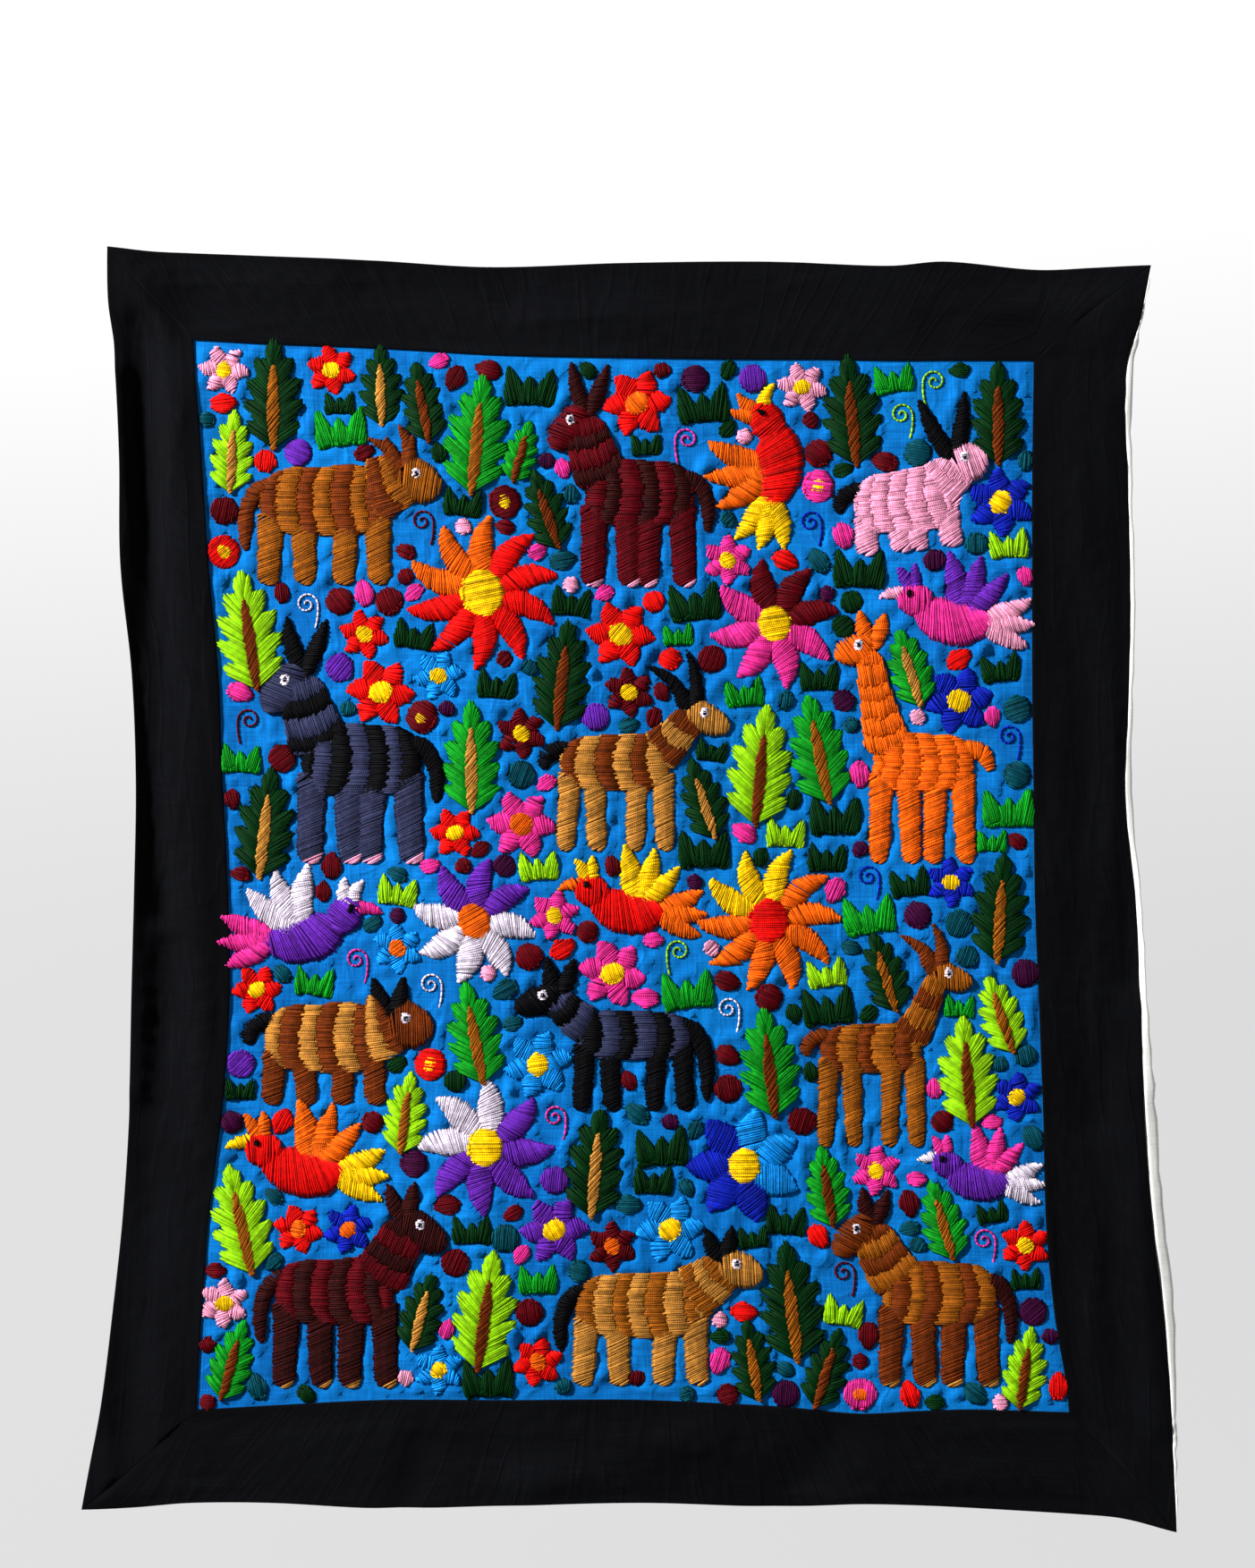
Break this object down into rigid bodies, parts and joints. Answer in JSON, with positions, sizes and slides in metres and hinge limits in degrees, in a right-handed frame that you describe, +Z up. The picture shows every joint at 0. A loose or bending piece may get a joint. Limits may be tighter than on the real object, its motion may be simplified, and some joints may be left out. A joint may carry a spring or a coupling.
{
  "type": "embroidered wall hanging",
  "caption": "Upright cloth wall hanging: satin-stitched animals, birds and flowers on a blue cotton panel, with a mitred black border and a white lining.",
  "frame": {"origin": "middle of the top edge, on the face of the panel cloth, where the hanging is held", "axes": "+Z up, +X to the right of a viewer who faces the embroidery, the embroidered face towards -Y"},
  "size_m": [0.795, 0.0204, 0.9324],
  "materials": {
    "ground_cloth": "plain-woven azure blue cotton, puckered between the stitches",
    "border_cloth": "plain-woven black cotton with a faint blue sheen and soft creases",
    "lining_cloth": "plain-woven off-white cotton, softly padded and creased at its edge",
    "floss_black": "black cotton floss in padded satin stitch, with a soft lustre",
    "floss_slate": "slate grey cotton floss in padded satin stitch, with a soft lustre",
    "floss_dark_brown": "dark brown cotton floss in padded satin stitch, with a soft lustre",
    "floss_brown": "brown cotton floss in padded satin stitch, with a soft lustre",
    "floss_ochre": "ochre cotton floss in padded satin stitch, with a soft lustre",
    "floss_tan": "tan cotton floss in padded satin stitch, with a soft lustre",
    "floss_orange": "orange cotton floss in padded satin stitch, with a soft lustre",
    "floss_pink": "pale pink cotton floss in padded satin stitch, with a soft lustre",
    "floss_rose": "rose pink cotton floss in padded satin stitch, with a soft lustre",
    "floss_maroon": "maroon cotton floss in padded satin stitch, with a soft lustre",
    "floss_red": "red cotton floss in padded satin stitch, with a soft lustre",
    "floss_violet": "violet cotton floss in padded satin stitch, with a soft lustre",
    "floss_white": "lilac white cotton floss in padded satin stitch, with a soft lustre",
    "floss_royal": "royal blue cotton floss in padded satin stitch, with a soft lustre",
    "floss_lime": "lime green cotton floss in padded satin stitch, with a soft lustre",
    "floss_green": "green cotton floss in padded satin stitch, with a soft lustre",
    "floss_dark_green": "dark green cotton floss in padded satin stitch, with a soft lustre"
  },
  "bodies": {
    "root": {"panel": "ground_cloth", "border_top": "border_cloth", "border_bottom": "border_cloth", "border_left": "border_cloth", "border_right": "border_cloth", "lining": "lining_cloth", "bull_1": "floss_ochre", "donkey_2": "floss_maroon", "rabbit_3": "floss_pink", "donkey_4": "floss_slate", "goat_5": "floss_tan", "llama_6": "floss_orange", "pig_7": "floss_brown", "fox_8": "floss_black", "deer_9": "floss_ochre", "horse_10": "floss_dark_brown", "cow_11": "floss_tan", "horse_12": "floss_brown", "sun_13": "floss_red", "sun_14": "floss_orange", "star_15": "floss_rose", "star_16": "floss_violet", "daisy_17": "floss_royal", "star_18": "floss_white", "bird_19": "floss_red", "bird_20": "floss_violet", "bird_21": "floss_rose", "bird_22": "floss_red", "bird_23": "floss_red", "bird_24": "floss_violet", "leaf_25": "floss_lime", "leaf_26": "floss_green", "leaf_27": "floss_dark_green", "leaf_28": "floss_dark_green", "leaf_29": "floss_lime", "leaf_30": "floss_green", "leaf_31": "floss_dark_green", "leaf_32": "floss_lime"}
  },
  "joints": []
}
